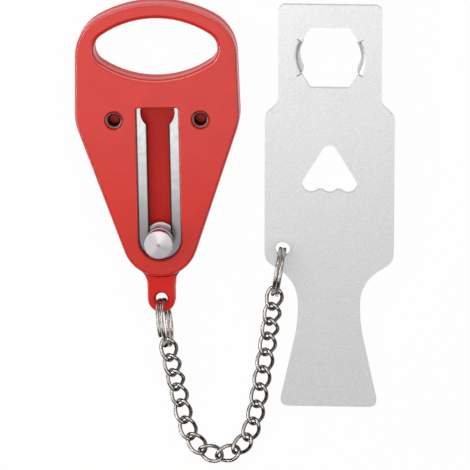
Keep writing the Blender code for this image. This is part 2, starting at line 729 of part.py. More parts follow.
def plate_matrix():
    """Place of the strike plate: it rests on its tail and on the tips of its ears."""
    ear_foot = PLATE_LENGTH * LATCH_HOLE_SHARE - EAR_OUTER_RADIUS * math.sin(EAR_HALF_ANGLE)
    tilt = math.atan2(EAR_LENGTH, ear_foot)
    turn = Matrix.Rotation(PLATE_TURN, 4, "Z") @ Matrix.Rotation(tilt, 4, "X")
    return Matrix.Translation(PLATE_PLACE) @ turn


def ring_hole_place():
    """Centre of the plate's ring hole, in the plate's own frame."""
    x = RING_HOLE_EDGE - PLATE_HALF_WIDTH
    return Vector((x, PLATE_LENGTH * RING_HOLE_SHARE, PLATE_THICKNESS / 2))


def strike_plate(steel):
    """Steel plate that hooks into the door frame, its origin on the ring hole."""
    plate = loft("strike_plate", plate_arcs(), [(0, 0), (PLATE_THICKNESS, 0)])
    through = [(-OVERRUN, 0), (PLATE_THICKNESS + OVERRUN, 0)]
    hole = ring_hole_place()
    tools = [
        loft("latch_tool", latch_arcs(), through),
        loft("pin_hole_tool", pin_hole_arcs(), through),
        loft("ring_hole_tool", circle(hole.x, hole.y, RING_HALF_WIDTH + RING_HOLE_PLAY), through),
    ]
    ears = [ear_tool("left", math.pi), ear_tool("right", 0)]
    for tool in tools:
        combine(plate, tool)
    for ear in ears:
        combine(plate, ear, "UNION")
    for piece in [plate] + tools + ears:
        piece.data.transform(Matrix.Translation(-hole))
        piece.matrix_world = plate_matrix() @ Matrix.Translation(hole)
    plate.data.materials.append(steel)


def ring_frame(heading, lean):
    """Axes of a split ring: forwards away from its hole, across, and up its leaning plane."""
    forward = Vector((math.sin(heading), -math.cos(heading), 0))
    right = Vector((0, 0, 1)).cross(forward)
    up = Vector((0, 0, math.cos(lean))) - right * math.sin(lean)
    across = up.cross(forward)
    return Matrix((forward, across, up)).transposed()


def ring_centre(hole, heading, lean, seat):
    """Centre of a ring that stands on the table and pulls on the far side of its hole."""
    frame = ring_frame(heading, lean)
    height = RING_CENTRE_RADIUS * math.cos(lean) + RING_HALF_WIDTH * math.sin(lean)
    height += RING_WIRE_RADIUS * (1 - math.sin(lean))
    rise = (height - hole.z) / math.cos(lean)
    run = math.sqrt(RING_CENTRE_RADIUS ** 2 - rise ** 2)
    return hole + frame @ Vector((seat + run, 0, rise))


def ring_points():
    """Centreline of a split ring: one turn, a jog to the side, and the second turn."""
    total = 4 * math.pi - RING_JOG - RING_END_PLAY
    steps = round(total / (2 * math.pi) * RING_STEPS_PER_TURN)
    points = []
    for index in range(steps + 1):
        angle = total * index / steps
        share = min(max((angle - 2 * math.pi + RING_JOG) / RING_JOG, 0), 1)
        share = share * share * (3 - 2 * share)
        place = RING_SPLIT_PLACE + angle
        x = RING_CENTRE_RADIUS * math.cos(place)
        z = RING_CENTRE_RADIUS * math.sin(place)
        points.append(Vector((x, RING_TURN_SPACING * (share - 0.5), z)))
    return points


def least_gap(points, wire_radius, apart):
    """Least clearance between stretches of one wire that lie further apart along it."""
    nearest = math.inf
    for index, point in enumerate(points):
        for other in points[index + apart:]:
            nearest = min(nearest, (point - other).length)
    return nearest - 2 * wire_radius


def split_ring(name, origin, centre, heading, lean, steel):
    """One split ring, with its origin on the joint that it turns about."""
    frame = ring_frame(heading, lean)
    offset = frame.transposed() @ (centre - origin)
    data = wire(name, [point + offset for point in ring_points()], RING_WIRE_RADIUS)
    data.materials.append(steel)
    ring = add_object(name, data)
    ring.matrix_world = Matrix.Translation(origin) @ frame.to_4x4()


def link_points():
    """Centreline of one curb link, from its joint with the link before it."""
    points = []
    for index in range(LINK_STEPS):
        angle = 2 * math.pi * (index + 0.5) / LINK_STEPS
        along = math.copysign(abs(math.cos(angle)) ** LINK_ROUNDING, math.cos(angle))
        reach = LINK_HALF_WIDTH * math.copysign(abs(math.sin(angle)) ** LINK_ROUNDING, math.sin(angle))
        twist = -LINK_TWIST * along
        x = LINK_PITCH / 2 + LINK_HALF_LENGTH * along
        points.append(Vector((x, reach * math.cos(twist), reach * math.sin(twist))))
    return points


def ease(share):
    """A smooth fall from 1 to 0 as the share grows from 0 to 1."""
    return (1 + math.cos(math.pi * min(share, 1))) / 2


def lifts(index, count):
    """How far a place along the chain is lifted towards its first and its last ring."""
    first = ease(index * LINK_PITCH / CHAIN_DROP_LENGTH)
    last = ease((count - index) * LINK_PITCH / CHAIN_DROP_LENGTH)
    return first, last


def link_frame(along, roll):
    """Axes of a link: along the chain, across it and up, rolled about its length."""
    across = Vector((0, 0, 1)).cross(along).normalized()
    level = Matrix((along, across, along.cross(across))).transposed()
    return level @ Matrix.Rotation(roll, 3, "X")


def ring_seat():
    """How far from a link's middle the ring's two turns lie, clear of its twisted end."""
    clear = RING_WIRE_RADIUS + LINK_WIRE_RADIUS + 2 * GAP
    roll = Matrix.Rotation(LINK_ROLL, 3, "X")
    outline = [(roll @ point).xy - Vector((LINK_PITCH / 2, 0)) for point in link_points()]
    seat = LINK_HALF_LENGTH
    while min((point - Vector((seat, RING_TURN_SPACING / 2))).length for point in outline) < clear:
        seat -= GAP / 10
    return seat


def resting_height():
    """Height of the chain's middle where it lies flat on the table."""
    heights = [abs(point.z) for point in link_points()]
    return max(heights) + LINK_WIRE_RADIUS


def joint_heights(first, last):
    """Heights of the joints: the chain sinks from each ring to the table."""
    low = resting_height()
    heights = []
    for joint in range(LINK_COUNT + 1):
        lift = lifts(joint, LINK_COUNT)
        heights.append(low + (first - low) * lift[0] + (last - low) * lift[1])
    return heights


def turn_shares(middle):
    """Each joint's share of the chain's bend: a little at the sides, most at the bottom."""
    shares = []
    for joint in range(1, LINK_COUNT):
        shares.append(SIDE_TURN_SHARE + ease(abs(joint - middle) / BEND_LINKS))
    total = sum(shares)
    return [0] + [share / total for share in shares]


def lay_chain(start, lengths, heights, shares, heading, bend):
    """Joints of the chain from its first heading and its whole bend."""
    joints = [Vector((start.x, start.y, heights[0]))]
    for index, length in enumerate(lengths):
        heading += bend * shares[index]
        flat = math.sqrt(length ** 2 - (heights[index + 1] - heights[index]) ** 2)
        x = joints[-1].x + flat * math.cos(heading)
        y = joints[-1].y + flat * math.sin(heading)
        joints.append(Vector((x, y, heights[index + 1])))
    return joints


def chain_joints(start, end):
    """Joints of the chain that hangs as a U between the two rings."""
    reach = LINK_PITCH / 2 + ring_seat()
    lengths = [reach] + [LINK_PITCH] * (LINK_COUNT - 2) + [reach]
    heights = joint_heights(start.z, end.z)
    shares = turn_shares((LINK_COUNT - (end.y - start.y) / LINK_PITCH) / 2)
    heading = CHAIN_START_HEADING
    bend = CHAIN_BEND
    for _ in range(SOLVER_STEPS):
        joints = lay_chain(start, lengths, heights, shares, heading, bend)
        turned_end = lay_chain(start, lengths, heights, shares, heading + SOLVER_NUDGE, bend)[-1]
        bent_end = lay_chain(start, lengths, heights, shares, heading, bend + SOLVER_NUDGE)[-1]
        columns = ((turned_end - joints[-1]).xy, (bent_end - joints[-1]).xy)
        change = Matrix(columns).transposed().inverted() @ (end - joints[-1]).xy
        heading += change.x * SOLVER_NUDGE
        bend += change.y * SOLVER_NUDGE
    return joints


def chain(joints, steel):
    """The links; the first hangs on an empty that marks its joint on the ring's wire."""
    data = wire("link", link_points(), LINK_WIRE_RADIUS, closed=True)
    data.materials.append(steel)
    pivot = add_object("first_link_joint", None)
    pivot.location = joints[0]
    for index in range(LINK_COUNT):
        along = (joints[index + 1] - joints[index]).normalized()
        lift = lifts(index, LINK_COUNT - 1)
        frame = link_frame(along, LINK_ROLL * (lift[1] - lift[0]))
        link = add_object(f"link_{index + 1:02d}", data)
        place = joints[index]
        if index == 0:
            place = joints[1] - along * LINK_PITCH - joints[0]
            link.parent = pivot
        link.matrix_local = Matrix.Translation(place) @ frame.to_4x4()


def piece_corners():
    """Lowest and highest corner of everything that is a piece."""
    bpy.context.view_layer.update()
    graph = bpy.context.evaluated_depsgraph_get()
    low = Vector((math.inf, math.inf, math.inf))
    high = -low
    for thing in bpy.data.objects:
        if thing.hide_render or thing.type == "EMPTY":
            continue
        shaped = thing.evaluated_get(graph)
        for vertex in shaped.to_mesh().vertices:
            point = shaped.matrix_world @ vertex.co
            low = Vector(map(min, low, point))
            high = Vector(map(max, high, point))
        shaped.to_mesh_clear()
    return low, high


def centre_on_table():
    """Put the origin on the table, under the middle of the lock."""
    low, high = piece_corners()
    middle = (low + high) / 2
    for thing in bpy.data.objects:
        if thing.parent is None:
            thing.location -= Vector((middle.x, middle.y, low.z))


def main():
    """Build every piece of the lock."""
    clear_scene()
    handle = add_object("handle", None)
    handle.rotation_euler.z = HANDLE_TURN
    front_shell(handle, material("front_shell", (0.72, 0.06, 0.045), 0.42, 0.0))
    back_shell(handle, material("back_shell", (0.66, 0.05, 0.04), 0.45, 0.0))
    slide_plate(handle, material("slide_plate", (0.62, 0.62, 0.61), 0.35, 1.0))
    bright = material("rivet", (0.70, 0.69, 0.67), 0.25, 1.0)
    for side, x in rivet_places():
        rivet(side, x, handle, bright)
    locking_pin(handle, material("locking_pin", (0.75, 0.74, 0.72), 0.22, 1.0))
    strike_plate(material("strike_plate", (0.78, 0.78, 0.78), 0.5, 1.0))

    lug = Matrix.Rotation(HANDLE_TURN, 4, "Z") @ Vector((0, -LUG_REACH, (LUG_BOTTOM + LUG_TOP) / 2))
    hole = plate_matrix() @ ring_hole_place()
    near = ring_centre(lug, HANDLE_RING_HEADING, HANDLE_RING_LEAN, HANDLE_RING_SEAT)
    far = ring_centre(hole, PLATE_RING_HEADING, PLATE_RING_LEAN, PLATE_RING_SEAT)
    reach = Vector((RING_CENTRE_RADIUS, 0, 0))
    start = near + ring_frame(HANDLE_RING_HEADING, HANDLE_RING_LEAN) @ reach
    end = far + ring_frame(PLATE_RING_HEADING, PLATE_RING_LEAN) @ reach
    joints = chain_joints(start, end)
    ring_steel = material("split_ring", (0.60, 0.58, 0.55), 0.22, 1.0)
    split_ring("split_ring_handle", lug, near, HANDLE_RING_HEADING, HANDLE_RING_LEAN, ring_steel)
    split_ring("split_ring_plate", joints[-1], far, PLATE_RING_HEADING, PLATE_RING_LEAN, ring_steel)
    chain(joints, material("chain_link", (0.55, 0.53, 0.50), 0.2, 1.0))
    centre_on_table()
    gap = least_gap(ring_points(), RING_WIRE_RADIUS, RING_STEPS_PER_TURN // 3)
    print(f"split ring: least gap between its turns {gap / MM:.2f} mm")


main()
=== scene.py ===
"""Looks of the portable door lock, laid out flat as in the photograph."""
import json
import math

import bmesh
import bpy
import numpy as np
from mathutils import Matrix, Vector

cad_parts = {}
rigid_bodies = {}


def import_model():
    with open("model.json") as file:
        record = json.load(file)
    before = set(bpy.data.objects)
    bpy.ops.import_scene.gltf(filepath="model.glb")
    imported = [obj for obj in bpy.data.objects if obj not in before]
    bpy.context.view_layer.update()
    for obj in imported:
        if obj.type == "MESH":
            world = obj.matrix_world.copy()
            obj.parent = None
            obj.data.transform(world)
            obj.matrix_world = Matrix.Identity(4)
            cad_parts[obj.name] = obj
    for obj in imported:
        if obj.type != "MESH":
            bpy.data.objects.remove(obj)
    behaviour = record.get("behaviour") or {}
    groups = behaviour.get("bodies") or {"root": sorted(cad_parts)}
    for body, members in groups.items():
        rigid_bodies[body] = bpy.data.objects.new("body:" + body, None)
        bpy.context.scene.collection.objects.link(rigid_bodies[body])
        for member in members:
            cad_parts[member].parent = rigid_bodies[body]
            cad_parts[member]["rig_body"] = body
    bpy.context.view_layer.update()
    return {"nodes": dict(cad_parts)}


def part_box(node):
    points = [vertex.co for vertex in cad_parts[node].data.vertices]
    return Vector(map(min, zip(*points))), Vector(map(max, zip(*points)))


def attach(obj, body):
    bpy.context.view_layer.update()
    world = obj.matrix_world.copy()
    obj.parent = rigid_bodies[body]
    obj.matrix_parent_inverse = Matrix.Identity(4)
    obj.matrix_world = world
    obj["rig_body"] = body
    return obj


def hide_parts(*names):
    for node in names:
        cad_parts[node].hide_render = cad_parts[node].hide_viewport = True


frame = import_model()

MM = 0.001

# Camera: nearly straight above, leaning toward the handle's top end and a little to the right
CAMERA_DISTANCE = 2500 * MM
CAMERA_SIDE = math.radians(3.0)
CAMERA_TILT = math.radians(12.5)
CAMERA_ROLL = math.radians(0.3)
CAMERA_AIM = Vector((0.02 * MM, 0.95 * MM, 10 * MM))
CAMERA_CLIP = (0.01, 20.0)
FRAME_WIDTH = 159.8 * MM
SENSOR = 36.0

# Surroundings: grey level by how far a direction points along the tilted top direction
WORLD_TOP = (0.0, 0.42, 1.0)
WORLD_STOPS = (
    (0.0, 0.12), (0.06, 0.03), (0.46, 0.03), (0.60, 0.66), (0.80, 1.0), (0.88, 0.50), (1.0, 0.0),
)
WHITE = (1.0, 1.0, 1.0)

# Floor: matt paper that glows, but only for the camera and in reflections
FLOOR_REACH = 3.0
FLOOR_DROP = 0.05 * MM
FLOOR_COLOUR = (0.86, 0.86, 0.86)
FLOOR_ROUGHNESS = 0.9
FLOOR_GLOW = 0.97

# Lamps: name, place, aim, size in metres, power in watts
LAMPS = (
    ("key", (-0.18, 0.15, 0.42), (-0.18, 0.15, 0), (0.5, 0.43), 0.76),
    ("left", (-0.42, 0.04, 0.26), (0, 0.02, 0), (0.5, 0.02), 0.5),
    ("back", (0, 0.42, 0.34), (0, 0, 0), (0.6, 0.03), 0.20),
    ("fill", (0.5, -0.1, 0.6), (0, 0, 0), (0.4, 0.4), 0.45),
)

# Noise patterns: scale, detail, roughness
PLASTIC_MOTTLE = (90.0, 3.0)
PLASTIC_GRAIN = (3200.0, 2.0)
BLASTED_SPECKLE = (2600.0, 3.0, 0.65)
BLASTED_CLOUD = (60.0, 2.0)
STEEL_MARKS = (900.0, 3.0, 0.6)
STEEL_CLOUD = (400.0, 2.0)

# Spans of a noise value that are spread over a mix
SOFT_SPAN = (0.3, 0.7)
MOTTLE_SPAN = (0.35, 0.65)
SPECKLE_SPAN = (0.36, 0.64)

# Bumps: depth, strength
PLASTIC_BUMP = (0.004 * MM, 0.4)
BLASTED_BUMP = (0.02 * MM, 0.35)
STEEL_BUMP = (0.006 * MM, 0.3)
GROOVE_BUMP = (0.004 * MM, 0.5)

# Gloss of the plastic by how level its surface lies. The spans of levelness go from rounded
# edge to flat face and from side wall to rounded edge
PLASTIC_IOR = 1.8
GRAIN_ROUGHNESS = 0.06
EDGE_GLOSS = 1.0
WALL_GLOSS = 0.03
ROUNDED = (0.86, 0.97)
WALL = (0.2, 0.45)

# Steels. A shade is the share of a colour that its darker tone has, and the shift moves
# coordinates that run from 0 to 1 over a piece's box to its axis
BLASTED_ROUGHNESS = (0.42, 0.45)
CLOUD_SHADE = 0.86
# painted shade on a wire's sides: span of levelness from side to crown
FLANK_SHADE_SPAN = (0.45, 0.88)
AXIS_SHIFT = (-0.5, -0.5, 0.0)
GROOVE_SCALE = 13.0
GROOVE_DISTORTION = 0.4
GROOVE_SHADE = 0.85
GROOVE_ROUGHNESS = (0.34, 0.40)
TURNED_ANISOTROPY = 0.92

# Rails beside the slot: painted shade, darker toward its closed end, and a painted shadow line
# along each edge. The edges' spans are distances from the slot's middle line
SLOT_TURN = math.radians(0.9)
RAIL_STREAK = (1.0, 0.05, 1.0)
# painted shade: how far from the slot's closed end it fades, and the share of the colour left at
# that end
RAIL_PAINTED_SHADE_SPAN = (0.0, 18.0 * MM)
RAIL_PAINTED_SHADE_SHARE = 0.5
# painted shadow lines along the rails' inner and outer edges, and their colour
RAIL_INNER_SHADOW_SPAN = (3.95 * MM, 4.3 * MM)
RAIL_OUTER_SHADOW_SPAN = (6.85 * MM, 7.2 * MM)
RAIL_SHADOW_COLOUR = (0.03, 0.015, 0.012)

# Smoothing of the CAD shapes: faces within the flat angle are merged, edges over the sharp
# angle stay sharp, and those over the eased angle get a small round where a piece is cut
WELD = 0.002 * MM
FLAT_ANGLE = math.radians(0.5)
SHARP_ANGLE = math.radians(33)
EASED_ANGLE = math.radians(50)
EASED_SEGMENTS = 3
ROUND_PROFILE = 0.5
CUT_STEEPNESS = 0.6
CUT_EDGE = 0.25 * MM
# the rails' round is wider and carries the painted shadow
RAIL_SHADOW_EDGE = 0.8 * MM

# Turned pin, in millimetres: radius, length and chamfer of its flange, shaft, collars, neck
# and knob, then radius and rise over the rim of the knob's crowned and dimpled face
PIN_STEPS = (
    (5.3, 1.5, 0.3), (3.35, 2.6, 0), (4.2, 1.5, 0.3), (3.2, 0.8, 0), (4.6, 1.5, 0.3),
    (2.75, 3.1, 0), (4.9, 3.26, 0.3),
)
PIN_FACE = ((2.6, 0.19), (0.62, 0.34), (0.42, 0.12), (0.2, -0.24), (0, -0.5))
PIN_SIDES = 96
CHAMFER_STEPS = 4

# Hollow rivets, in millimetres: radius and height over the foot, radius and depth below the head
EYELET_FOOT = (
    (1.85, 0.0), (2.55, 0.0), (2.72, 0.07), (2.8, 0.25), (2.72, 0.43), (2.55, 0.5), (2.2, 0.5),
)
EYELET_FLARE = (
    (2.2, 0.5), (2.45, 0.48), (2.62, 0.36), (2.66, 0.2), (2.6, 0.06), (2.5, 0.0),
    (2.38, 0.03), (2.22, 0.16), (2.06, 0.38), (1.94, 0.66), (1.87, 1.0), (1.85, 1.3),
)
EYELET_SIDES = 64

# Split rings: node, piece, heading and lean
RINGS = (
    ("split_ring_handle", "ring_at_handle", math.radians(8.5), math.radians(6.0)),
    ("split_ring_plate", "ring_at_plate", math.radians(-9.8), 0.0),
)
RING_WIRE_RADIUS = 0.475 * MM
RING_CENTRE_RADIUS = 8.5 * MM - RING_WIRE_RADIUS
RING_TURN_SPACING = 1.38 * MM
RING_WIDENING = 0.3
RING_JOG = math.radians(44.0)
RING_END_PLAY = math.radians(3.0)
RING_SPLIT_PLACE = math.radians(68.0)
RING_STEPS = 160
RING_SIDES = 16

# Chain links
LINK_COUNT = 19
LINK_PITCH = 6.2 * MM
LINK_WIRE_RADIUS = 0.63 * MM
LINK_HALF_WIDTH = 2.6 * MM
LINK_ROUNDING = 0.87
LINK_TWIST = math.radians(46.0)
LINK_PLAY = 0.55 * MM
LINK_HALF_LENGTH = (LINK_PITCH + 2 * LINK_WIRE_RADIUS + LINK_PLAY) / 2
LINK_STEPS = 48
LINK_SIDES = 14
CORNER_DECIMALS = 7


class Nodes:
    """Short helpers for building one node tree."""

    def __init__(self, tree):
        self.tree = tree

    def add(self, kind, **settings):
        node = self.tree.nodes.new(kind)
        for key, value in settings.items():
            setattr(node, key, value)
        return node

    def feed(self, value, socket):
        """Link an output into a socket, or set the socket to a fixed value."""
        if isinstance(value, bpy.types.NodeSocket):
            self.tree.links.new(value, socket)
        else:
            socket.default_value = value

    def coordinate(self, kind):
        return self.add("ShaderNodeTexCoord").outputs[kind]

    def ray(self, kind):
        return self.add("ShaderNodeLightPath").outputs[kind]

    def math(self, operation, *values):
        node = self.add("ShaderNodeMath", operation=operation)
        for value, socket in zip(values, node.inputs):
            self.feed(value, socket)
        return node.outputs[0]

    def vector(self, operation, *values, output="Vector"):
        node = self.add("ShaderNodeVectorMath", operation=operation)
        for value, socket in zip(values, node.inputs):
            self.feed(value, socket)
        return node.outputs[output]

    def dot(self, point, way):
        """How far a point lies along a direction."""
        return self.vector("DOT_PRODUCT", point, way, output="Value")

    def spread(self, value, low, high, start=0.0, end=1.0):
        """Map a value from start..end onto low..high, held at the ends."""
        node = self.add("ShaderNodeMapRange", clamp=True)
        limits = {"From Min": start, "From Max": end, "To Min": low, "To Max": high}
        for key, limit in limits.items():
            self.feed(limit, node.inputs[key])
        self.feed(value, node.inputs["Value"])
        return node.outputs["Result"]

    def mix(self, share, first, second):
        """Mix two colours, each a socket or a tuple."""
        node = self.add("ShaderNodeMix", data_type="RGBA")
        self.feed(share, node.inputs["Factor"])
        for slot, colour in ((6, first), (7, second)):
            self.feed((*colour, 1.0) if isinstance(colour, tuple) else colour, node.inputs[slot])
        return node.outputs[2]


class Surface(Nodes):
    """A material with one principled shader."""

    def __init__(self, name):
        self.material = bpy.data.materials.new(name)
        self.material.use_nodes = True
        super().__init__(self.material.node_tree)
        self.shader = self.tree.nodes["Principled BSDF"]

    def set(self, **values):
        """Give inputs of the shader, with _ for a space in their names."""
        for key, value in values.items():
            self.feed(value, self.shader.inputs[key.replace("_", " ")])

    def noise(self, scale, detail, roughness=0.5, stretch=None):
        node = self.add("ShaderNodeTexNoise")
        self.feed(scale, node.inputs["Scale"])
        self.feed(detail, node.inputs["Detail"])
        self.feed(roughness, node.inputs["Roughness"])
        source = self.coordinate("Object")
        if stretch:
            mapping = self.add("ShaderNodeMapping")
            self.feed(stretch, mapping.inputs["Scale"])
            self.feed(source, mapping.inputs["Vector"])
            source = mapping.outputs["Vector"]
        self.feed(source, node.inputs["Vector"])
        return node.outputs["Fac"]

    def levelness(self):
        """1 where the piece's surface is level, 0 where it stands upright."""
        parts = self.add("ShaderNodeSeparateXYZ")
        self.feed(self.coordinate("Normal"), parts.inputs[0])
        return self.math("ABSOLUTE", parts.outputs["Z"])

    def bump(self, height, distance, strength):
        node = self.add("ShaderNodeBump")
        self.feed(distance, node.inputs["Distance"])
        self.feed(strength, node.inputs["Strength"])
        self.feed(height, node.inputs["Height"])
        self.set(Normal=node.outputs["Normal"])


def srgb(*levels):
    """Linear colour from 0..255 levels."""
    shares = [level / 255 for level in levels]
    return tuple(s / 12.92 if s <= 0.04045 else ((s + 0.055) / 1.055) ** 2.4 for s in shares)


def shade(colour, share):
    """A darker tone of a colour."""
    return tuple(share * level for level in colour)


def plastic(name, colour, dark, roughness, gloss):
    """Moulded plastic: fine grain, faint mottling, polished rounded edges, dull side walls."""
    n = Surface(name)
    n.set(Base_Color=n.mix(n.spread(n.noise(*PLASTIC_MOTTLE), 0, 1, *MOTTLE_SPAN), dark, colour))
    grain = n.noise(*PLASTIC_GRAIN)
    n.set(Roughness=n.spread(grain, roughness, roughness + GRAIN_ROUGHNESS))
    n.bump(grain, *PLASTIC_BUMP)
    levelness = n.levelness()
    top = n.spread(levelness, EDGE_GLOSS, gloss, *ROUNDED)
    side = n.spread(levelness, WALL_GLOSS, 1.0, *WALL)
    n.set(Specular_IOR_Level=n.math("MULTIPLY", top, side), IOR=PLASTIC_IOR)
    return n.material


def blasted_steel(name, dark, bright):
    """Bead-blasted stainless sheet: a fine, bright speckle."""
    n = Surface(name)
    speckle = n.noise(*BLASTED_SPECKLE)
    n.set(Base_Color=n.mix(n.spread(speckle, 0, 1, *SPECKLE_SPAN), dark, bright))
    n.set(Roughness=n.spread(n.noise(*BLASTED_CLOUD), *BLASTED_ROUGHNESS, *SOFT_SPAN))
    n.bump(speckle, *BLASTED_BUMP)
    n.set(Metallic=1.0)
    return n.material


def rail_painted_shade(n, tone, colour):
    """Painted shade on a rail, darker toward the slot's closed end where the pin rests, and
    painted shadow lines along its edges.
    """
    across = Vector((math.cos(SLOT_TURN), math.sin(SLOT_TURN), 0))
    offset = n.vector("SUBTRACT", n.coordinate("Object"), middle_of("locking_pin"))
    height = n.dot(offset, Vector((-across.y, across.x, 0)))
    # painted shade, darker toward the slot's closed end
    tone = n.mix(n.spread(height, 0, 1, *RAIL_PAINTED_SHADE_SPAN), shade(colour, RAIL_PAINTED_SHADE_SHARE), tone)
    spot = n.add("ShaderNodeCombineXYZ")
    n.feed(n.dot(offset, across), spot.inputs[0])
    n.feed(n.math("MINIMUM", height, 0.0), spot.inputs[1])
    reach = n.vector("LENGTH", spot.outputs[0], output="Value")
    # painted shadow lines along the slot's edge and along the window's walls
    tone = n.mix(n.spread(reach, 0, 1, *RAIL_INNER_SHADOW_SPAN), RAIL_SHADOW_COLOUR, tone)
    return n.mix(n.spread(reach, 0, 1, *RAIL_OUTER_SHADOW_SPAN), tone, RAIL_SHADOW_COLOUR)


def bright_steel(name, colour, roughness, edge=1.0, flank_shade=None, rail=False):
    """Bright steel with faint marks.

    The edge is the tint of its grazing reflections. A wire's sides can take a painted shade,
    darker than its crown. The marks of a rail run along it, and a rail takes painted shade
    toward the slot's closed end and painted shadow lines along its edges."""
    n = Surface(name)
    marks = n.noise(*STEEL_MARKS, stretch=RAIL_STREAK if rail else None)
    cloud = n.spread(n.noise(*STEEL_CLOUD), 0, 1, *SOFT_SPAN)
    tone = n.mix(cloud, shade(colour, CLOUD_SHADE), colour)
    # painted shade on a wire's sides, darker than its crown
    if flank_shade:
        tone = n.mix(n.spread(n.levelness(), 0, 1, *FLANK_SHADE_SPAN), flank_shade, tone)
    # rails take painted shade and painted shadow lines
    if rail:
        tone = rail_painted_shade(n, tone, colour)
    n.set(Base_Color=tone, Roughness=n.spread(marks, *roughness, *SOFT_SPAN))
    n.bump(marks, *STEEL_BUMP)
    n.set(Metallic=1.0, Specular_Tint=(edge, edge, edge, 1.0))
    return n.material


def turned_steel(name, colour):
    """Lathe-turned steel: concentric grooves that fan the light out from the axis."""
    n = Surface(name)
    centred = n.add("ShaderNodeMapping")
    n.feed(AXIS_SHIFT, centred.inputs["Location"])
    n.feed(n.coordinate("Generated"), centred.inputs["Vector"])
    grooves = n.add("ShaderNodeTexWave", wave_type="RINGS", rings_direction="Z")
    n.feed(GROOVE_SCALE, grooves.inputs["Scale"])
    n.feed(GROOVE_DISTORTION, grooves.inputs["Distortion"])
    n.feed(centred.outputs["Vector"], grooves.inputs["Vector"])
    share = grooves.outputs["Fac"]
    n.set(Base_Color=n.mix(share, shade(colour, GROOVE_SHADE), colour))
    n.set(Roughness=n.spread(share, *GROOVE_ROUGHNESS))
    n.bump(share, *GROOVE_BUMP)
    round_axis = n.add("ShaderNodeTangent", direction_type="RADIAL", axis="Z")
    n.set(Tangent=round_axis.outputs["Tangent"], Metallic=1.0, Anisotropic=TURNED_ANISOTROPY)
    return n.material


def middle_of(node):
    low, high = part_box(node)
    return (low + high) / 2


def body_of(node):
    return frame["nodes"][node]["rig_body"]


def mesh_object(name, builder, material, body, slot, *replaced):
    """A finished piece from mesh code, riding on a body."""
    data = bpy.data.meshes.new(name)
    bmesh.ops.recalc_face_normals(builder, faces=builder.faces)
    builder.to_mesh(data)
    builder.free()
    data.materials.append(material)
    data.shade_smooth()
    data.set_sharp_from_angle(angle=SHARP_ANGLE)
    piece = bpy.data.objects.new(name, data)
    bpy.context.scene.collection.objects.link(piece)
    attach(piece, body)
    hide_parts(*replaced)
    even = piece.modifiers.new("even_normals", "WEIGHTED_NORMAL")
    even.keep_sharp = True
    return piece


def smooth_copy(node, name, material, slot, cut=None, edge=CUT_EDGE):
    """The CAD shape with its corners welded and its curves shaded smooth.

    Where a cut material is given, sharp outer edges are eased, and they and the upright faces
    take that material; on the rails it is a painted shadow."""
    builder = bmesh.new()
    builder.from_mesh(frame["nodes"][node].data)
    bmesh.ops.remove_doubles(builder, verts=builder.verts, dist=WELD)
    bmesh.ops.dissolve_limit(
        builder, angle_limit=FLAT_ANGLE, verts=builder.verts, edges=builder.edges,
    )
    if cut:
        for face in builder.faces:
            face.material_index = int(abs(face.normal.z) < CUT_STEEPNESS)
        sharp = [
            line for line in builder.edges
            if line.is_manifold and line.calc_face_angle_signed() > EASED_ANGLE
        ]
        bmesh.ops.bevel(
            builder, geom=sharp, offset=edge, segments=EASED_SEGMENTS, profile=ROUND_PROFILE,
            affect="EDGES", clamp_overlap=True, material=1,
        )
    piece = mesh_object(name, builder, material, body_of(node), slot, node)
    if cut:
        piece.data.materials.append(cut)


def tube(builder, points, radius, sides, closed, widen=Vector()):
    """Sweep a wire along the points.

    Along the widen vector it is thicker, by that vector's length as a share of its radius."""
    count = len(points)
    rings = []
    side = None
    for index, point in enumerate(points):
        before = points[index - 1] if closed or index else point
        after = points[(index + 1) % count] if closed or index + 1 < count else point
        forward = (after - before).normalized()
        if side is None:
            side = forward.orthogonal().normalized()
        side = (side - forward * side.dot(forward)).normalized()
        other = forward.cross(side)
        ring = []
        for k in range(sides):
            angle = 2 * math.pi * k / sides
            spoke = side * math.cos(angle) + other * math.sin(angle)
            spoke += widen * spoke.dot(widen.normalized()) if widen.length else Vector()
            ring.append(builder.verts.new(point + radius * spoke))
        rings.append(ring)
    last = count if closed else count - 1
    shift = 0
    if closed:
        first = (rings[0][0].co - points[0]).normalized()
        forward = (points[1] - points[-1]).normalized()
        carried = (side - forward * side.dot(forward)).normalized()
        angle = math.atan2(forward.dot(carried.cross(first)), carried.dot(first))
        shift = round(-angle / (2 * math.pi / sides))
    for index in range(last):
        lower, upper = rings[index], rings[(index + 1) % count]
        slide = shift if index == count - 1 else 0
        for k in range(sides):
            a, b = lower[k], lower[(k + 1) % sides]
            c, d = upper[(k + 1 + slide) % sides], upper[(k + slide) % sides]
            builder.faces.new((a, b, c, d))
    if not closed:
        builder.faces.new(list(reversed(rings[0])))
        builder.faces.new(rings[-1])


def turned(profile, sides, centre, closed=False):
    """Revolve (radius, height) pairs about the vertical through the centre."""
    builder = bmesh.new()
    turns = [2 * math.pi * k / sides for k in range(sides)]
    rings = []
    for radius, height in profile:
        ways = [(math.cos(a), math.sin(a)) for a in turns] if radius else [(0, 0)]
        rings.append([
            builder.verts.new((centre.x + radius * x, centre.y + radius * y, height))
            for x, y in ways
        ])
    pairs = list(zip(rings, rings[1:]))
    if closed:
        pairs.append((rings[-1], rings[0]))
    for lower, upper in pairs:
        for k in range(sides):
            j = (k + 1) % sides
            if len(lower) == 1:
                builder.faces.new((lower[0], upper[j], upper[k]))
            elif len(upper) == 1:
                builder.faces.new((lower[k], lower[j], upper[0]))
            else:
                builder.faces.new((lower[k], lower[j], upper[j], upper[k]))
    return builder


def chamfer_bend(chamfer):
    """Points on a rounded chamfer, as (inward, along) from the corner that it rounds."""
    turns = [math.pi / 2 * k / CHAMFER_STEPS for k in range(1, CHAMFER_STEPS)]
    return [(chamfer * (1 - math.sin(a)), chamfer * (1 - math.cos(a))) for a in turns]


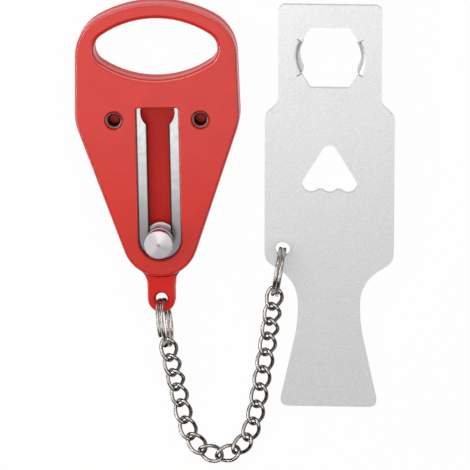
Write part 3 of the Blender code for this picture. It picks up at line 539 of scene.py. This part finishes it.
def pin_profile(bottom):
    """Outline of the turned pin, as (radius, height) pairs from its lower end up."""
    profile = [(0, bottom)]
    for step in PIN_STEPS:
        height = profile[-1][1]
        radius, length, chamfer = (size * MM for size in step)
        top = height + length
        profile.append((radius - chamfer, height))
        if chamfer:
            bend = chamfer_bend(chamfer)
            profile += [(radius - inward, height + along) for inward, along in bend]
            profile += [(radius, height + chamfer), (radius, top - chamfer)]
            profile += [(radius - along, top - inward) for inward, along in bend]
        profile.append((radius - chamfer, top))
    rim = profile[-1][1]
    return profile + [(radius * MM, rim + rise * MM) for radius, rise in PIN_FACE]


def pin(node, name, material):
    """Turned lock pin, standing where the CAD node stands."""
    builder = turned(pin_profile(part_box(node)[0].z), PIN_SIDES, middle_of(node))
    mesh_object(name, builder, material, body_of(node), "turned_steel", node)


def eyelet(node, name, material):
    """Hollow rivet with a funnel-shaped flare at the front and a rolled foot behind."""
    low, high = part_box(node)
    profile = [(radius * MM, low.z + rise * MM) for radius, rise in EYELET_FOOT]
    profile += [(radius * MM, high.z - drop * MM) for radius, drop in EYELET_FLARE]
    builder = turned(profile, EYELET_SIDES, middle_of(node), closed=True)
    mesh_object(name, builder, material, body_of(node), "rivet_steel", node)


def link_matrix(node):
    """Where a link lies, from its own corners: along, across and through it."""
    corners = np.array([v.co for v in frame["nodes"][node].data.vertices])
    corners = np.unique(np.round(corners, CORNER_DECIMALS), axis=0)
    centre = corners.mean(axis=0)
    _, axes = np.linalg.eigh(np.cov((corners - centre).T))
    along, across = Vector(axes[:, 2]), Vector(axes[:, 1])
    turn = Matrix((along, across, along.cross(across))).transposed()
    return Matrix.Translation(Vector(centre)) @ turn.to_4x4()


def link_points():
    """Middle line of a curb link: a squarish oval, twisted from end to end."""
    points = []
    for index in range(LINK_STEPS):
        angle = 2 * math.pi * (index + 0.5) / LINK_STEPS
        along = math.copysign(abs(math.cos(angle)) ** LINK_ROUNDING, math.cos(angle))
        across = math.copysign(abs(math.sin(angle)) ** LINK_ROUNDING, math.sin(angle))
        reach = LINK_HALF_WIDTH * across
        twist = -LINK_TWIST * along
        points.append(Vector((
            LINK_HALF_LENGTH * along, reach * math.cos(twist), reach * math.sin(twist),
        )))
    return points


def chain_link(node, name, material):
    """Curb link that lies where the CAD node's corners say."""
    place = link_matrix(node)
    builder = bmesh.new()
    points = [place @ point for point in link_points()]
    tube(builder, points, LINK_WIRE_RADIUS, LINK_SIDES, True)
    mesh_object(name, builder, material, body_of(node), "chain_nickel", node)


def ring_points():
    """Middle line of a split ring: two turns of wire side by side, with a jog between them."""
    total = 4 * math.pi - RING_JOG - RING_END_PLAY
    points = []
    for index in range(RING_STEPS + 1):
        angle = total * index / RING_STEPS
        share = min(max((angle - 2 * math.pi + RING_JOG) / RING_JOG, 0), 1)
        share = share * share * (3 - 2 * share)
        place = RING_SPLIT_PLACE + angle
        x, z = RING_CENTRE_RADIUS * math.cos(place), RING_CENTRE_RADIUS * math.sin(place)
        points.append(Vector((x, RING_TURN_SPACING * (share - 0.5), z)))
    return points


def ring_frame(heading, lean):
    """Turn of an upright ring whose plane holds the heading and leans to one side."""
    forward = Vector((math.sin(heading), -math.cos(heading), 0))
    right = Vector((0, 0, 1)).cross(forward)
    up = Vector((0, 0, math.cos(lean))) - right * math.sin(lean)
    return Matrix((forward, up.cross(forward), up)).transposed()


def key_ring(node, name, heading, lean, material):
    """Split ring whose box has the same middle as the CAD node's."""
    turn = ring_frame(heading, lean)
    points = [turn @ point for point in ring_points()]
    sides = [[point[k] for point in points] for k in range(3)]
    middle = Vector([(min(side) + max(side)) / 2 for side in sides])
    shift = middle_of(node) - middle
    widen = turn @ Vector((0, RING_WIDENING, 0))
    points = [point + shift for point in points]
    builder = bmesh.new()
    tube(builder, points, RING_WIRE_RADIUS, RING_SIDES, False, widen)
    mesh_object(name, builder, material, body_of(node), "ring_nickel", node)


def make_camera():
    data = bpy.data.cameras.new("camera")
    data.sensor_width = SENSOR
    data.lens = SENSOR * CAMERA_DISTANCE / FRAME_WIDTH
    data.clip_start, data.clip_end = CAMERA_CLIP
    camera = bpy.data.objects.new("camera", data)
    bpy.context.scene.collection.objects.link(camera)
    bpy.context.scene.camera = camera
    back = Vector((math.tan(CAMERA_SIDE), math.tan(CAMERA_TILT), 1)).normalized()
    right = Vector((0, 1, 0)).cross(back).normalized()
    turn = Matrix((right, back.cross(right), back)).transposed()
    turn = turn @ Matrix.Rotation(-CAMERA_ROLL, 3, "Z")
    camera.matrix_world = Matrix.Translation(CAMERA_AIM + back * CAMERA_DISTANCE) @ turn.to_4x4()


def lamp(name, place, aim, size, power):
    """A soft rectangular lamp at a place, turned toward its aim."""
    data = bpy.data.lights.new(name, "AREA")
    data.shape = "RECTANGLE"
    data.size, data.size_y = size
    data.energy = power
    light = bpy.data.objects.new(name, data)
    bpy.context.scene.collection.objects.link(light)
    place = Vector(place)
    turn = (place - Vector(aim)).to_track_quat("Z", "Y").to_matrix()
    light.matrix_world = Matrix.Translation(place) @ turn.to_4x4()


def make_world():
    """Soft studio surroundings: bright part of the way up, dark low down and at the top.

    To the camera they are paper white."""
    world = bpy.data.worlds.new("studio")
    bpy.context.scene.world = world
    world.use_nodes = True
    n = Nodes(world.node_tree)
    height = n.dot(n.coordinate("Generated"), Vector(WORLD_TOP).normalized())
    ramp = n.add("ShaderNodeValToRGB")
    n.feed(height, ramp.inputs["Fac"])
    stops = ramp.color_ramp.elements
    for place, _ in WORLD_STOPS[1:-1]:
        stops.new(place)
    for stop, (place, level) in zip(stops, WORLD_STOPS):
        stop.position, stop.color = place, (level, level, level, 1)
    colour = n.mix(n.ray("Is Camera Ray"), ramp.outputs["Color"], WHITE)
    n.feed(colour, n.tree.nodes["Background"].inputs["Color"])


def make_floor():
    builder = bmesh.new()
    bmesh.ops.create_grid(builder, x_segments=1, y_segments=1, size=FLOOR_REACH)
    data = bpy.data.meshes.new("floor")
    builder.to_mesh(data)
    builder.free()
    floor = bpy.data.objects.new("floor", data)
    floor.location.z = -FLOOR_DROP
    bpy.context.scene.collection.objects.link(floor)
    n = Surface("paper")
    n.set(Base_Color=(*FLOOR_COLOUR, 1), Roughness=FLOOR_ROUGHNESS)
    seen = n.math("MAXIMUM", n.ray("Is Camera Ray"), n.ray("Is Glossy Ray"))
    mixer = n.add("ShaderNodeMixShader")
    n.feed(n.math("MULTIPLY", seen, FLOOR_GLOW), mixer.inputs["Fac"])
    n.feed(n.shader.outputs[0], mixer.inputs[1])
    n.feed(n.add("ShaderNodeEmission").outputs[0], mixer.inputs[2])
    n.feed(mixer.outputs[0], n.tree.nodes["Material Output"].inputs["Surface"])
    data.materials.append(n.material)


def build():
    """Every piece of the lock, with its material."""
    red = plastic("red_plastic", srgb(224, 37, 21), srgb(217, 34, 19), roughness=0.16, gloss=0.22)
    deep_red = plastic(
        "dark_red_plastic", srgb(229, 31, 20), srgb(221, 28, 17), roughness=0.35, gloss=0.12,
    )
    sheet = blasted_steel("plate_steel", srgb(230, 230, 231), srgb(250, 250, 251))
    cut = bright_steel("cut_steel", srgb(212, 210, 210), roughness=(0.36, 0.46))
    # painted shadow: near-black steel for the rails' rounded edges and upright faces
    rail_painted_shadow = bright_steel("rail_painted_shadow_steel", srgb(44, 34, 32), roughness=(0.36, 0.46))
    strip = bright_steel("slide_steel", srgb(188, 188, 188), roughness=(0.15, 0.20), rail=True)
    # the chain's wires take painted shade on their sides
    nickel = bright_steel(
        "chain_nickel", srgb(206, 201, 194), roughness=(0.10, 0.18), edge=0.0,
        flank_shade=srgb(92, 84, 78),
    )
    ring = bright_steel("ring_nickel", srgb(196, 191, 184), roughness=(0.12, 0.20), edge=0.0)
    knob = turned_steel("turned_steel", srgb(224, 218, 220))
    rivet = bright_steel("rivet_steel", srgb(150, 132, 128), roughness=(0.26, 0.34), edge=0.2)

    smooth_copy("front_shell", "front_cover", red, "red_plastic")
    smooth_copy("back_shell", "back_cover", deep_red, "dark_red_plastic")
    smooth_copy("slide_plate", "slide_rails", strip, "slide_steel", rail_painted_shadow, RAIL_SHADOW_EDGE)
    smooth_copy("strike_plate", "door_plate", sheet, "plate_steel", cut)
    pin("locking_pin", "turned_pin", knob)
    for side in ("left", "right"):
        eyelet(f"rivet_{side}", f"eyelet_{side}", rivet)
    for index in range(1, LINK_COUNT + 1):
        chain_link(f"link_{index:02d}", f"chain_{index:02d}", nickel)
    for node, name, heading, lean in RINGS:
        key_ring(node, name, heading, lean, ring)


bpy.context.scene.view_settings.view_transform = "Standard"
make_camera()
make_world()
make_floor()
for values in LAMPS:
    lamp(*values)
build()
